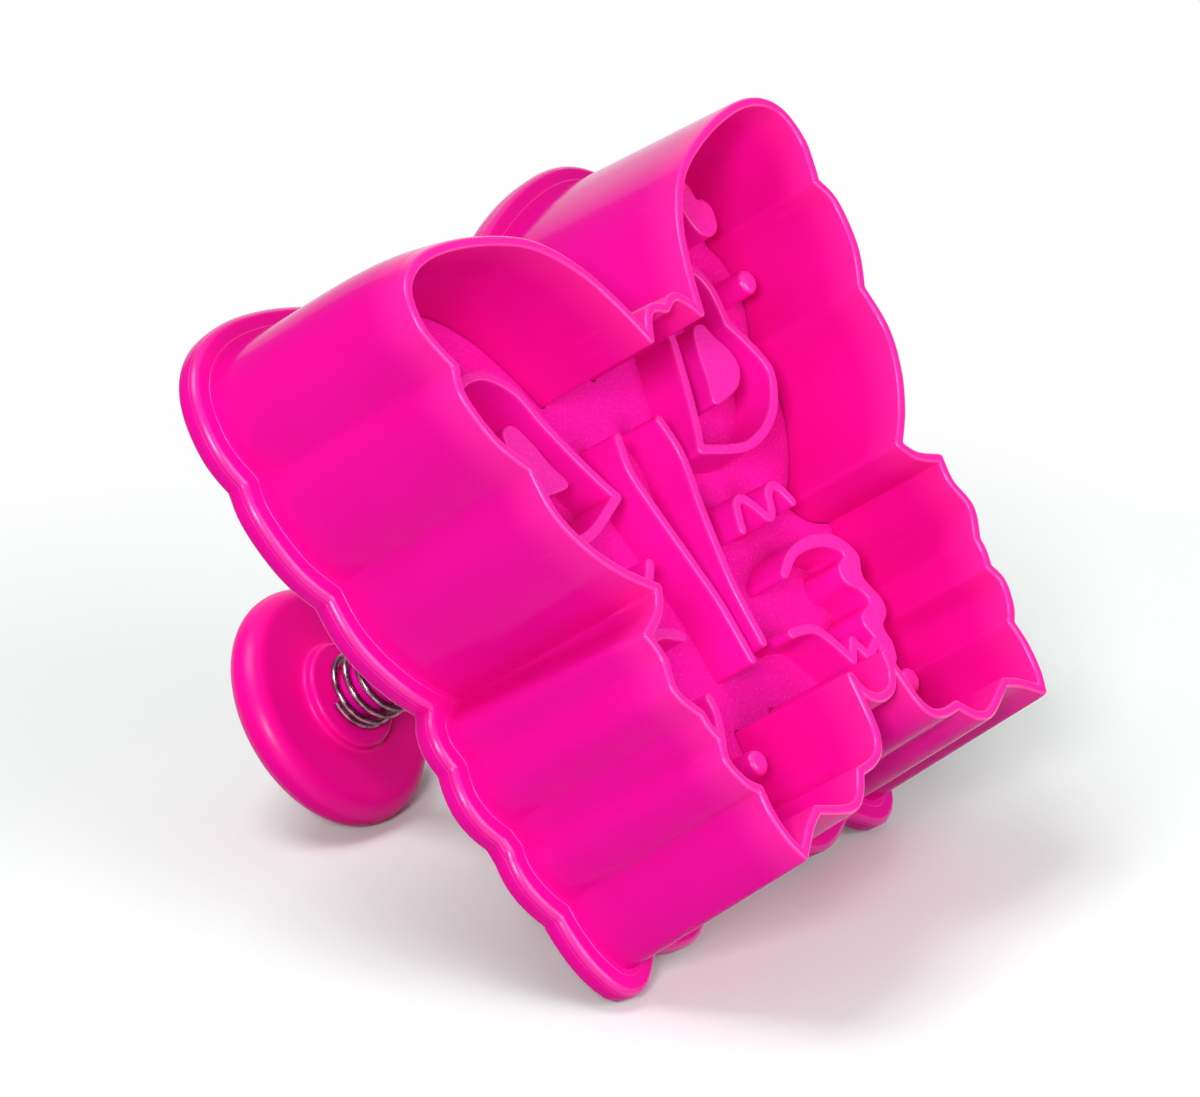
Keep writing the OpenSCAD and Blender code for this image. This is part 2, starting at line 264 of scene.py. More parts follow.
class Solid:
    """A mesh that is put together from rings, turned profiles and flat fills."""

    def __init__(self) -> None:
        """Starts an empty mesh."""
        self.bm = bmesh.new()

    def ring(self, points: np.ndarray, z: float) -> list[bmesh.types.BMVert]:
        """Adds a level ring of points at a height, and returns its vertices."""
        return [self.bm.verts.new((x * MM, y * MM, z * MM)) for x, y in points]

    def loft(self, rings: Sequence[Sequence[bmesh.types.BMVert]]) -> None:
        """Skins neighbouring rings, which are all of one length."""
        for low, high in zip(rings, rings[1:]):
            for i in range(len(low)):
                j = (i + 1) % len(low)
                self.bm.faces.new((low[i], low[j], high[j], high[i]))

    def weld(self) -> None:
        """Joins vertices that share a place."""
        bmesh.ops.remove_doubles(self.bm, verts=self.bm.verts[:], dist=WELD)

    def fill(self, z: float) -> None:
        """Closes the open loops at one height with a flat face, leaving inner loops as holes."""
        self.weld()
        edges = [
            e for e in self.bm.edges
            if e.is_boundary and all(abs(v.co.z - z * MM) < WELD for v in e.verts)
        ]
        bmesh.ops.triangle_fill(self.bm, use_beauty=True, use_dissolve=False, edges=edges)

    def turned(self, profile: Sequence[Point], middle: Point = (0.0, 0.0), sides: int = 128) -> None:
        """Turns a profile of radius and height about an upright axis.

        Args:
            profile: The profile's points.
            middle: Where the axis stands.
            sides: The number of steps in a turn.
        """
        turn = np.linspace(0, math.tau, sides, endpoint=False)
        circle = np.column_stack([np.cos(turn), np.sin(turn)])
        self.loft([self.ring(circle * radius + middle, z) for radius, z in profile])

    def island(self, outline: Outline, levels: Sequence[Point]) -> None:
        """Raises a flat-topped island.

        Args:
            outline: The island's outline.
            levels: How far the outline moves, and its height, from the foot to the top.
        """
        self.loft([self.ring(outline.moved(reach), z) for reach, z in levels])
        self.fill(levels[0][1])
        self.fill(levels[-1][1])

    def hoop(self, outline: Outline, levels: Sequence[Point]) -> None:
        """Raises a ridge along a closed outline.

        Args:
            outline: The ridge's middle line.
            levels: How far its outer side moves, and its height, from the foot to the top.
        """
        inner = [(-reach, z) for reach, z in reversed(levels)]
        self.loft([self.ring(outline.moved(reach), z) for reach, z in [*levels, *inner]])
        self.fill(levels[0][1])

    def piece(self, name: str, finish: "Finish", sharp: float = 34.0) -> bpy.types.Object:
        """Turns the mesh into an object.

        Args:
            name: The object's name.
            finish: Its finish.
            sharp: The angle in degrees from which an edge stays crisp.

        Returns:
            The object, linked to the scene.
        """
        self.weld()
        bmesh.ops.dissolve_degenerate(self.bm, edges=self.bm.edges[:], dist=WELD / 10)
        bmesh.ops.recalc_face_normals(self.bm, faces=self.bm.faces[:])
        mesh = bpy.data.meshes.new(name)
        self.bm.to_mesh(mesh)
        self.bm.free()
        mesh.polygons.foreach_set("use_smooth", [True] * len(mesh.polygons))
        mesh.set_sharp_from_angle(angle=math.radians(sharp))
        mesh.materials.append(finish.material())
        made = bpy.data.objects.new(name, mesh)
        bpy.context.scene.collection.objects.link(made)
        return made


def arc(middle: Point, radius: float, start: float, end: float, steps: int) -> list[Pair]:
    """Points along an arc, with angles in degrees."""
    angles = np.radians(np.linspace(start, end, steps + 1))
    return [(middle[0] + radius * math.cos(a), middle[1] + radius * math.sin(a)) for a in angles]


Feed = Union["Value", float, Sequence[float]]


class Value:
    """A socket of a shader graph that takes part in Python expressions."""

    def __init__(self, graph: "Graph", socket: bpy.types.NodeSocket) -> None:
        """Wraps one output socket of a graph."""
        self.graph = graph
        self.socket = socket

    def _math(self, operation: str, first: Feed, second: Feed) -> "Value":
        """Adds one Math node and returns its result."""
        node = self.graph.add("ShaderNodeMath", {"operation": operation}, {0: first, 1: second})
        return Value(self.graph, node.outputs[0])

    def __add__(self, other: Feed) -> "Value":
        """This plus a value."""
        return self._math("ADD", self, other)

    def __radd__(self, other: Feed) -> "Value":
        """A value plus this."""
        return self._math("ADD", other, self)

    def __sub__(self, other: Feed) -> "Value":
        """This minus a value."""
        return self._math("SUBTRACT", self, other)

    def __rsub__(self, other: Feed) -> "Value":
        """A value minus this."""
        return self._math("SUBTRACT", other, self)

    def __mul__(self, other: Feed) -> "Value":
        """This times a value."""
        return self._math("MULTIPLY", self, other)

    def __rmul__(self, other: Feed) -> "Value":
        """A value times this."""
        return self._math("MULTIPLY", other, self)

    def __abs__(self) -> "Value":
        """This without its sign."""
        return self._math("ABSOLUTE", self, 0.0)

    def most(self, other: Feed) -> "Value":
        """The larger of this and a value."""
        return self._math("MAXIMUM", self, other)

    def ramp(self, start: float, end: float) -> "Value":
        """Rises smoothly from 0 at start to 1 at end."""
        node = self.graph.add("ShaderNodeMapRange", {"interpolation_type": "SMOOTHSTEP"},
                              {"Value": self, "From Min": start, "From Max": end})
        return Value(self.graph, node.outputs["Result"])


@dataclass(frozen=True)
class Grain:
    """A soft noise in a finish.

    Attributes:
        scale: Grains per metre.
        detail: Number of finer layers.
        rough: Strength of the finer layers.
        stretch: Scale along each of the piece's axes.
        marks: Levels between which its marks rise from none to full.
        depth: Depth in metres of its bump.
    """

    scale: float
    detail: float = 2.0
    rough: float = 0.5
    stretch: Triple = (1.0, 1.0, 1.0)
    marks: Pair = (0.0, 1.0)
    depth: float = 0.0


class Graph:
    """The node tree of a material or a world."""

    def __init__(self, owner: Union[bpy.types.Material, bpy.types.World]) -> None:
        """Empties the owner's node tree and takes it over."""
        owner.use_nodes = True
        self.tree = owner.node_tree
        self.tree.nodes.clear()

    def add(self, kind: str, settings: Optional[Mapping[str, object]] = None,
            sockets: Optional[Mapping[Union[str, int], object]] = None) -> bpy.types.Node:
        """Adds a node.

        Args:
            kind: The node's type.
            settings: Its settings, which are set first.
            sockets: Values or links for its input sockets, by name or number.

        Returns:
            The node.
        """
        node = self.tree.nodes.new(kind)
        for key, setting in (settings or {}).items():
            setattr(node, key, setting)
        for key, feed in (sockets or {}).items():
            target = node.inputs[key]
            if isinstance(feed, Value):
                self.tree.links.new(feed.socket, target)
            elif isinstance(feed, bpy.types.NodeSocket):
                self.tree.links.new(feed, target)
            else:
                target.default_value = feed
        return node

    def value(self, kind: str, output: Union[str, int], settings: Optional[Mapping[str, object]] = None,
              sockets: Optional[Mapping[Union[str, int], object]] = None) -> Value:
        """Adds a node and returns one of its outputs."""
        return Value(self, self.add(kind, settings, sockets).outputs[output])

    def place(self, stretch: Point = (1.0, 1.0, 1.0)) -> Value:
        """The place on the piece in metres, stretched along its axes."""
        here = self.value("ShaderNodeTexCoord", "Object")
        return self.value("ShaderNodeMapping", "Vector", None, {"Vector": here, "Scale": stretch})

    def noise(self, grain: Grain) -> Value:
        """Soft noise between about 0 and 1."""
        return self.value("ShaderNodeTexNoise", "Fac", None, {
            "Vector": self.place(grain.stretch), "Scale": grain.scale, "Detail": grain.detail,
            "Roughness": grain.rough})

    def marks(self, grain: Grain) -> Value:
        """The marks of a noise, from 0 between them to 1 on them."""
        return self.noise(grain).ramp(*grain.marks)

    def part(self, vector: Value, axis: str) -> Value:
        """One component of a vector."""
        return self.value("ShaderNodeSeparateXYZ", axis, None, {"Vector": vector})

    def above(self, levels: Pair) -> Value:
        """Rises from 0 to 1 between two heights on the piece, in millimetres."""
        start, end = levels
        return self.part(self.place(), "Z").ramp(start * MM, end * MM)

    def blend(self, share: Feed, low: Feed, high: Feed) -> Value:
        """A colour between two colours."""
        node = self.add("ShaderNodeMix", {"data_type": "RGBA"}, {0: share})
        for slot, colour in ((6, low), (7, high)):
            if isinstance(colour, Value):
                self.tree.links.new(colour.socket, node.inputs[slot])
            else:
                node.inputs[slot].default_value = (*colour, 1.0)
        return Value(self, node.outputs[2])

    def bump(self, height: Value, depth: float, under: Optional[Value] = None) -> Value:
        """A normal bent by a height of 0 to 1 times a depth in metres."""
        sockets = {"Height": height, "Distance": depth, "Strength": 1.0}
        if under is not None:
            sockets["Normal"] = under
        return self.value("ShaderNodeBump", "Normal", None, sockets)

    def seen(self, share: Feed = 1.0) -> Value:
        """1 for the camera's own rays and those through glass, and a share for those off a mirror."""
        path = self.add("ShaderNodeLightPath")
        rays = ("Is Camera Ray", "Is Glossy Ray", "Is Transmission Ray")
        camera, mirror, glass = (Value(self, path.outputs[ray]) for ray in rays)
        return camera.most(mirror * share).most(glass)

    def mix_shader(self, share: Feed, low: bpy.types.Node, high: bpy.types.Node) -> bpy.types.Node:
        """A shader between the shaders of two nodes."""
        return self.add("ShaderNodeMixShader", None, {0: share, 1: low.outputs[0], 2: high.outputs[0]})

    def finish(self, shader: bpy.types.Node, output: str = "ShaderNodeOutputMaterial") -> None:
        """Ends the graph in a surface."""
        self.add(output, None, {"Surface": shader.outputs[0]})


class Texture(Enum):
    """How a moulded face was left by its mould."""

    POLISHED = "polished"
    SPARKED = "sparked"
    SATIN = "satin"


class Finish:
    """A finish that makes its material once."""

    name: str

    def material(self) -> bpy.types.Material:
        """The finish's material."""
        found = bpy.data.materials.get(self.name)
        if found is None:
            found = bpy.data.materials.new(self.name)
            self.dress(Graph(found))
        return found

    def dress(self, graph: Graph) -> None:
        """Fills the material's graph."""
        raise NotImplementedError


# Noises of the moulded faces, the wire and the floor.
CLOUDS = Grain(90.0, 3.0, marks=(0.35, 0.7))
SMUDGES = Grain(420.0, 4.0, 0.6)
RIPPLES = Grain(160.0, 1.0, depth=0.00004)
SPARKS = Grain(3000.0, 3.0, 0.65, marks=(0.52, 0.72), depth=0.0002)
DRAG_LINES = Grain(900.0, 3.0, 0.6, (1.0, 1.0, 0.03), depth=0.00001)
RUBS = Grain(1500.0, 1.0, 0.5, (1.0, 1.0, 0.008), marks=(0.66, 0.72))
WORN_SPOTS = Grain(110.0, marks=(0.5, 0.62))
SATIN_GRAIN = Grain(5200.0, depth=0.00001)
WIRE_STREAKS = Grain(1500.0, 3.0, 0.6, marks=(0.3, 0.7), depth=0.00001)
WIRE_SCUFFS = Grain(3000.0)
PAPER_FLECKS = Grain(900.0, 3.0)

# Upright shares of a face's normal between which the face starts to be rounded, sloped, flat and level.
ROUNDED = (0.15, 0.4)
SLOPED = (0.2, 0.5)
FLAT = (0.75, 0.95)
LEVEL = (0.88, 0.98)


@dataclass(frozen=True)
class Plastic(Finish):
    """Hot-pink moulded plastic.

    Attributes:
        name: The material's name.
        texture: How the mould left the faces.
        roughness: The mean roughness.
        colour: The body colour.
        deep: The colour of its darker clouds.
        pale: The colour of painted glows on edges, painted highlights on sparked faces, and rubbing marks.
        tint: The colour of its gloss.
        gloss: The level of its gloss.
        polish: The strength of the shine that use leaves on rounded edges.
        polish_rough: The roughness of that shine.
        edge_z: Heights in millimetres between which the painted glow of the edge fades out, or None for
            none.
        painted_glow_share: How pale that painted glow is.
        smudge: Spread of the roughness.
        grain_and_sheen_share: Painted highlight on a spark-eroded face between its grains, and how much
            paler its grains are.
        spark_rough: How much rougher such a face is.
        rub_z: Heights in millimetres between which the rubbing marks fade out.
        rub_share: How pale the rubbing marks are.
        rub_rough: How much rougher they are.
    """

    name: str
    texture: Texture
    roughness: float
    colour: Colour = (0.785, 0.0035, 0.302)
    deep: Colour = (0.76, 0.003, 0.285)
    pale: Colour = (0.95, 0.022, 0.345)
    tint: Colour = (1.0, 0.3, 0.6)
    gloss: float = 0.06
    polish: float = 1.0
    polish_rough: float = 0.32
    edge_z: Optional[Pair] = None
    painted_glow_share: float = 0.7
    smudge: float = 0.12
    grain_and_sheen_share: Pair = (0.05, 0.6)
    spark_rough: float = 0.08
    rub_z: Pair = (2.0, 9.0)
    rub_share: float = 0.45
    rub_rough: float = 0.1

    def dress(self, graph: Graph) -> None:
        """Clouds the colour, paints light onto edges and flat faces, roughens the faces and adds the marks
        of moulding and use.
        """
        colour = graph.blend(graph.marks(CLOUDS), self.deep, self.colour)
        # Painted glow: the colour turns pale towards the level of edge_z, standing in for light caught in
        # thin edges.
        if self.edge_z is not None:
            rim = 1.0 - graph.above(self.edge_z)
            colour = graph.blend(self.painted_glow_share * rim, colour, self.pale)
        rough = self.roughness + self.smudge * (graph.noise(SMUDGES) - 0.5)
        normal = graph.bump(graph.noise(RIPPLES), RIPPLES.depth)
        facing = abs(graph.part(graph.value("ShaderNodeNewGeometry", "True Normal"), "Z"))
        if self.texture is Texture.SPARKED:
            # Painted highlight: flat faces are painted paler, and paler again on the spark-eroded grains,
            # which are partly a real grain.
            flat = facing.ramp(*FLAT)
            grain = graph.noise(SPARKS)
            least, more = self.grain_and_sheen_share
            share = least + more * grain.ramp(*SPARKS.marks)
            colour = graph.blend(flat * share, colour, self.pale)
            rough = rough + self.spark_rough * flat
            normal = graph.bump(grain * flat, SPARKS.depth, normal)
        elif self.texture is Texture.POLISHED:
            upright = 1.0 - facing.ramp(*SLOPED)
            low = 1.0 - graph.above(self.rub_z)
            rubs = graph.marks(RUBS) * graph.marks(WORN_SPOTS) * upright * low
            colour = graph.blend(self.rub_share * rubs, colour, self.pale)
            rough = rough + self.rub_rough * rubs
            normal = graph.bump(graph.noise(DRAG_LINES) * upright, DRAG_LINES.depth, normal)
        else:
            normal = graph.bump(graph.noise(SATIN_GRAIN), SATIN_GRAIN.depth, normal)
        rounded = facing.ramp(*ROUNDED) * (1.0 - facing.ramp(*LEVEL))
        shader = graph.add("ShaderNodeBsdfPrincipled", None, {
            "Base Color": colour, "Roughness": rough, "Normal": normal,
            "Specular IOR Level": self.gloss, "Specular Tint": (*self.tint, 1.0),
            "Coat Weight": self.polish * rounded, "Coat Roughness": self.polish_rough})
        graph.finish(shader)


@dataclass(frozen=True)
class Steel(Finish):
    """Bright drawn steel wire.

    Attributes:
        name: The material's name.
        colour: The metal's colour, darkened and tinted pink as a painted reflection of the plastic round
            it.
        dull: The colour of its duller streaks, with the same painted pink reflection.
        roughness: The mean roughness.
        scuff: Spread of the roughness.
    """

    name: str
    # Both colours are darkened and tinted pink: a painted reflection of the pink plastic round the wire.
    colour: Colour = (0.52, 0.40, 0.44)
    dull: Colour = (0.22, 0.15, 0.17)
    roughness: float = 0.22
    scuff: float = 0.16

    def dress(self, graph: Graph) -> None:
        """Streaks the wire and scuffs its shine."""
        streaks = graph.noise(WIRE_STREAKS)
        colour = graph.blend(streaks.ramp(*WIRE_STREAKS.marks), self.dull, self.colour)
        rough = self.roughness + self.scuff * (graph.noise(WIRE_SCUFFS) - 0.5)
        normal = graph.bump(streaks, WIRE_STREAKS.depth)
        shader = graph.add("ShaderNodeBsdfPrincipled", None, {
            "Base Color": colour, "Roughness": rough, "Normal": normal, "Metallic": 1.0})
        graph.finish(shader)


@dataclass(frozen=True)
class Paper(Finish):
    """The studio's floor, which the camera sees as white paper and which can't be seen from behind.

    Attributes:
        name: The material's name.
        colour: The floor's colour in the light that it throws back.
        shown: Its colour as the camera sees it.
        fade: Distances from the cutter in metres between which the camera's view of it fades to white.
        fleck: How dark its flecks are.
    """

    name: str
    colour: Colour = (0.28, 0.28, 0.28)
    shown: Colour = (0.89, 0.94, 0.92)
    fade: Pair = (0.08, 0.16)
    fleck: float = 0.985

    def dress(self, graph: Graph) -> None:
        """Flecks the paper, and lets the camera see it white at a distance."""
        flecks = graph.noise(PAPER_FLECKS)
        dim, paper = (
            graph.add("ShaderNodeBsdfDiffuse", None, {
                "Color": graph.blend(flecks, colour, tuple(self.fleck * c for c in colour))})
            for colour in (self.colour, self.shown))
        white = graph.add("ShaderNodeEmission", None, {"Strength": 1.0})
        away = graph.value("ShaderNodeVectorMath", "Value", {"operation": "LENGTH"}, {0: graph.place()})
        shown = graph.mix_shader(away.ramp(*self.fade), paper, white)
        front = graph.mix_shader(graph.seen(), dim, shown)
        behind = graph.value("ShaderNodeNewGeometry", "Backfacing")
        clear = graph.add("ShaderNodeBsdfTransparent")
        graph.finish(graph.mix_shader(behind, front, clear))


# The shell's edge_z paints a glow into the colour over its lowest 5 mm, paler towards the cutting edge.
SHELL_PLASTIC = Plastic("polished_pink", Texture.POLISHED, 0.14, edge_z=(0.0, 5.0))
# The stamp is of the shell's plastic: its colours are painted lighter, as painted light against the shade
# inside the cup, and its edge_z paints a highlight along the relief's tops.
STAMP_PLASTIC = Plastic(
    "sparked_pink", Texture.SPARKED, 0.3, colour=(0.86, 0.006, 0.395), deep=(0.83, 0.005, 0.375),
    pale=(1.0, 0.05, 0.46), edge_z=(9.6, 10.0), painted_glow_share=0.4)
# The knob is of the shell's plastic: its colours are painted lighter, as painted light against the shade
# that it sits in.
KNOB_PLASTIC = Plastic(
    "satin_pink", Texture.SATIN, 0.38, colour=(1.0, 0.003, 0.33), deep=(0.97, 0.0028, 0.31), polish=0.35)
SPRING_STEEL = Steel("drawn_wire")
FLOOR_PAPER = Paper("floor_paper")


def placed(piece: bpy.types.Object, body: str, slot: str, *nodes: str) -> bpy.types.Object:
    """Ties a piece to its body and hides the solids that it stands for.

    Args:
        piece: The piece.
        body: The body that carries it.
        slot: The record's material slot; not used.
        nodes: The solids that it stands for.

    Returns:
        The same piece.
    """
    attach(piece, body)
    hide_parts(*nodes)
    LOG.info("%s: %d faces, on %s", piece.name, len(piece.data.polygons), body)
    return piece


def span(node: str) -> Pair:
    """The lowest and the highest level of a solid, in millimetres."""
    low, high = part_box(node)
    return low.z / MM, high.z / MM


def plunger_axis() -> Pair:
    """Where the plunger's axis stands, in millimetres."""
    low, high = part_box("knob")
    return (low.x + high.x) / 2 / MM, (low.y + high.y) / 2 / MM


def butterfly(spacing: float = 0.25) -> Outline:
    """The wing outline, at the middle of the cutting wall."""
    lobes = [HEAD, *WING, TAIL, *[mirrored(lobe) for lobe in reversed(WING)]]
    return Outline(np.vstack([through(lobe, spacing)[:-1] for lobe in lobes]))


@dataclass
class CutterShell:
    """The cutting wall with its flange, roof, guide sleeve and spring seat.

    Attributes:
        wall_t: Thickness of the wall at the cutting edge.
        edge_r: Radius of the cutting edge's corners.
        edge_band: Height of the band along the cutting edge on the inner face.
        flare: How far the outer face leans out on its way up to the flange.
        wall_h: Height of the wall.
        wall_rings: Number of rings up the outer face.
        wall_span: Shares of the wall's height at which those rings start and end.
        root: Reach of the raised root along the flange's foot.
        root_h: Height of the root above the flange's face, and radius of its edge.
        face_sink: How far the flange's face lies behind the root's foot.
        face_band: Where the band along the root starts and ends on that face.
        flange_reach: Reach of the flange beyond the outline.
        front_r: Radius of the flange's round front edge.
        part_h: Height of the flange's widest line above that round.
        draft: How far the flange's side leans in from there to its back edge.
        back_r: Radius of its back edge.
        roof_t: Thickness of the flange and the roof.
        roof_band: Width of the band along the roof's edge.
        sleeve_r: Outer radius of the guide sleeve.
        sleeve_h: Length of the guide sleeve.
        sleeve_edge: Chamfer of the guide sleeve's end.
        bore_r: Radius of the stem's bore.
        seat_r: Inner radius of the spring's seat ring.
        seat_wall: Wall of the seat ring.
        seat_h: Height of the seat ring.
        seat_edge_r: Radius of the seat ring's upper edges.
        seat_foot_r: Radius of the fillet round the seat ring.
        bow: How far the wall's outer face bows out at the top of one wing.
        bow_at: Middle of that bow.
        bow_w: Half width of that bow.
    """

    wall_t: float = 1.0
    edge_r: float = 0.34
    edge_band: float = 1.2
    flare: float = 1.5
    wall_h: float = 22.5
    wall_rings: int = 9
    wall_span: Pair = (0.05, 0.95)
    root: float = 2.66
    root_h: float = 0.1
    face_sink: float = 0.005
    face_band: Pair = (0.02, 0.3)
    flange_reach: float = 4.35
    front_r: float = 0.8
    part_h: float = 0.05
    draft: float = 0.06
    back_r: float = 0.3
    roof_t: float = 2.3
    roof_band: float = 0.9
    sleeve_r: float = 4.48
    sleeve_h: float = 4.0
    sleeve_edge: float = 0.2
    bore_r: float = 2.18
    seat_r: float = 4.3
    seat_wall: float = 1.2
    seat_h: float = 1.6
    seat_edge_r: float = 0.2
    seat_foot_r: float = 0.4
    bow: float = 0.85
    bow_at: Pair = (27.0, 31.0)
    bow_w: float = 6.0

    @property
    def roof_top(self) -> float:
        """Level of the roof's upper face."""
        return self.wall_h + self.roof_t

    def profile(self) -> list[Pair]:
        """Reach and height of the section, from the ceiling round the cutting edge to the roof's top."""
        half = self.wall_t / 2
        shares = np.linspace(*self.wall_span, self.wall_rings)
        face = self.wall_h + self.face_sink
        part_z = self.wall_h + self.front_r
        side = self.flange_reach - self.draft / 2
        front = (self.flange_reach - self.front_r, part_z)
        back = (self.flange_reach - self.draft - self.back_r, self.roof_top - self.back_r)
        return [
            (-half, self.wall_h), (-half, self.wall_h / 2), (-half, self.edge_band),
            *arc((-half + self.edge_r, self.edge_r), self.edge_r, 180, 270, 6),
            *arc((half - self.edge_r, self.edge_r), self.edge_r, 270, 360, 6),
            *[(half + self.flare * share, self.wall_h * share) for share in shares],
            (half + self.flare, self.wall_h - self.root_h),
            *arc((self.root - self.root_h, self.wall_h), self.root_h, -90, 0, 5),
            *[(self.root + away, face) for away in self.face_band],
            *arc(front, self.front_r, -90, -6, 12),
            (side, part_z), (self.flange_reach, part_z + self.part_h), (side, (part_z + self.roof_top) / 2),
            *arc(back, self.back_r, 0, 90, 5),
            (self.flange_reach - self.roof_band, self.roof_top),
        ]

    def bowed(self, ring: np.ndarray, reach: float, z: float) -> np.ndarray:
        """Bows the wall's outer face at the top of one wing, where it left its mould slightly warped.

        Args:
            ring: The section's ring at one height.
            reach: The ring's reach beyond the outline, which is below zero on the inner face.
            z: The height.

        Returns:
            The ring with its bow.
        """
        if reach <= 0 or z >= self.wall_h - self.root_h:
            return ring
        near = np.exp(-((ring - self.bow_at) ** 2).sum(axis=1) / (2 * self.bow_w**2))
        share = z / self.wall_h
        swell = share * (1 - share) ** 2 * 27 / 4  # 1 at a third of the height, where it is most
        return ring + np.column_stack([np.zeros(len(ring)), self.bow * swell * near])

    def build(self) -> bpy.types.Object:
        """Builds the shell.

        Returns:
            The shell's object.
        """
        outline = butterfly()
        solid = Solid()
        solid.loft([
            solid.ring(self.bowed(outline.moved(reach), reach, z), z) for reach, z in self.profile()])
        outer = self.seat_r + self.seat_wall
        top = self.roof_top + self.seat_h
        sleeve_z = self.wall_h - self.sleeve_h
        edge, foot = self.seat_edge_r, self.seat_foot_r
        solid.turned([
            (self.sleeve_r, self.wall_h), (self.sleeve_r, sleeve_z + self.sleeve_edge),
            (self.sleeve_r - self.sleeve_edge, sleeve_z), (self.bore_r, sleeve_z),
            (self.bore_r, self.roof_top), (self.seat_r, self.roof_top),
            *arc((self.seat_r + edge, top - edge), edge, 180, 90, 4),
            *arc((outer - edge, top - edge), edge, 90, 0, 4),
            *arc((outer + foot, self.roof_top + foot), foot, 180, 270, 4),
            (outer + 2 * foot, self.roof_top),
        ], plunger_axis())
        solid.fill(self.wall_h)
        solid.fill(self.roof_top)
        shell = solid.piece("cutter_shell_moulding", SHELL_PLASTIC)
        return placed(shell, "cutter", "shell_plastic", "cutter_shell")


@dataclass
class Stamp:
    """The embossing plate with its relief and its hub.

    Attributes:
        inset: How far the plate's edge lies inside the wing outline.
        relief_z: Level of the relief's top.
        plate_z: Level of the plate's face.
        plate_t: Thickness of the plate.
        plate_edge: Width of the plate's broken front edge, and of the cut that rounds it.
        plate_band: Width of the band along the plate's edge.
        ridge_w: Width of the ridges.
        foot_w: How far a relief's foot stands out from its top.
        foot_h: Height of that foot above the plate's face.
        foot_sunk: How deep the relief reaches into the plate.
        edge_r: Radius of the relief's upper edges.
        patch_sink: How far the patches lie below the ridges' tops.
        step: Distance between the points along the relief's lines.
        peg_d: Diameter of the pegs.
        peg_r: Radius of the pegs' upper edges.
        hub_r: Outer radius of the hub.
        socket_r: Radius of the hub's socket.
        hub_top: Level of the hub's end.
        hub_edge: Chamfer of the hub's end.
        socket_z: Level of the socket's floor.
    """

    inset: float = 0.64
    relief_z: float = 9.5
    plate_z: float = 14.0
    plate_t: float = 2.0
    plate_edge: Pair = (0.1, 0.03)
    plate_band: float = 0.5
    ridge_w: float = 1.0
    foot_w: float = 0.1
    foot_h: float = 0.2
    foot_sunk: float = 0.4
    edge_r: float = 0.2
    patch_sink: float = 0.03
    step: float = 0.22
    peg_d: float = 2.5
    peg_r: float = 0.6
    hub_r: float = 4.45
    socket_r: float = 2.15
    hub_top: float = 18.3
    hub_edge: float = 0.3
    socket_z: float = 15.2

    def plate(self, solid: Solid, outline: Outline) -> None:
        """Adds the plate and its hub."""
        back = self.plate_z + self.plate_t
        edge, cut = self.plate_edge
        side = [(self.plate_band, back), (0.0, back), (0.0, self.plate_z + edge), (cut, self.plate_z + cut),
                (edge, self.plate_z), (edge + self.plate_band, self.plate_z)]
        solid.loft([solid.ring(outline.moved(-self.inset - inward), z) for inward, z in side])
        solid.fill(self.plate_z)
        solid.turned([
            (self.hub_r, back), (self.hub_r, self.hub_top - self.hub_edge),
            (self.hub_r - self.hub_edge, self.hub_top), (self.socket_r, self.hub_top),
            (self.socket_r, self.socket_z), (0.0, self.socket_z)], plunger_axis(), sides=64)
        solid.fill(back)

    def strokes(self) -> list[np.ndarray]:
        """The middle lines of the open ridges, on both wings."""
        zigzag = [through(step, self.step) for step in zip(ZIGZAG, ZIGZAG[1:])]
        lines = []
        for way, side, squiggle, curl in ((1, RIGHT_SIDE, RIGHT_SQUIGGLE, RIGHT_CURL),
                                          (-1, LEFT_SIDE, LEFT_SQUIGGLE, LEFT_CURL)):
            hind = [through(curl, self.step), *[step[1:] for step in zigzag]]
            lines += [line * (way, 1) for line in (
                through(side, self.step), through(squiggle, self.step), np.vstack(hind))]
        return lines

    def levels(self, half: float, sink: float = 0.0) -> list[Pair]:
        """Reach and height of a relief's side, from below the plate's face up to its rounded edge.

        Args:
            half: Reach of the side beyond the drawn line.
            sink: How far its top lies below the relief's top.

        Returns:
            The side's points.
        """
        top = self.relief_z + sink
        edge = arc((-self.edge_r, -self.edge_r), self.edge_r, 0, 90, 5)
        side = [(self.foot_w, self.plate_z + self.foot_sunk), (self.foot_w, self.plate_z - self.foot_h),
                *[(reach, top - rise) for reach, rise in edge]]
        return [(half + reach, z) for reach, z in side]

    def relief(self, solid: Solid) -> None:
        """Adds the ridges, patches and pegs."""
        half = self.ridge_w / 2
        for line in self.strokes():
            solid.island(Outline.along(line), self.levels(half))
        cell = np.vstack([through(side, self.step)[:-1] for side in CELL])
        patches = [through(points, self.step, closed=True) for points in PATCHES]
        for way in (-1, 1):
            solid.hoop(Outline(cell * (way, 1)), self.levels(half))
            for patch in patches:
                solid.island(Outline(patch * (way, 1)), self.levels(0.0, self.patch_sink))
        radius = self.peg_d / 2
        side = [(reach, z) for reach, z in self.levels(radius) if z > self.relief_z + self.peg_r]
        rim = arc((radius - self.peg_r, -self.peg_r), self.peg_r, 0, 90, 8)
        dome = [*side, *[(reach, self.relief_z - rise) for reach, rise in rim], (0.0, self.relief_z)]
        for x, y in PEGS:
            for way in (-1, 1):
                solid.turned(dome, (way * x, y), sides=40)
                solid.fill(side[0][1])

    def build(self) -> bpy.types.Object:
        """Builds the stamp.

        Returns:
            The stamp's object.
        """
        outline = butterfly()
        solid = Solid()
        self.plate(solid, outline)
        self.relief(solid)
        stamp = solid.piece("stamp_moulding", STAMP_PLASTIC)
        return placed(stamp, "plunger", "stamp_plastic", "stamp_plate")


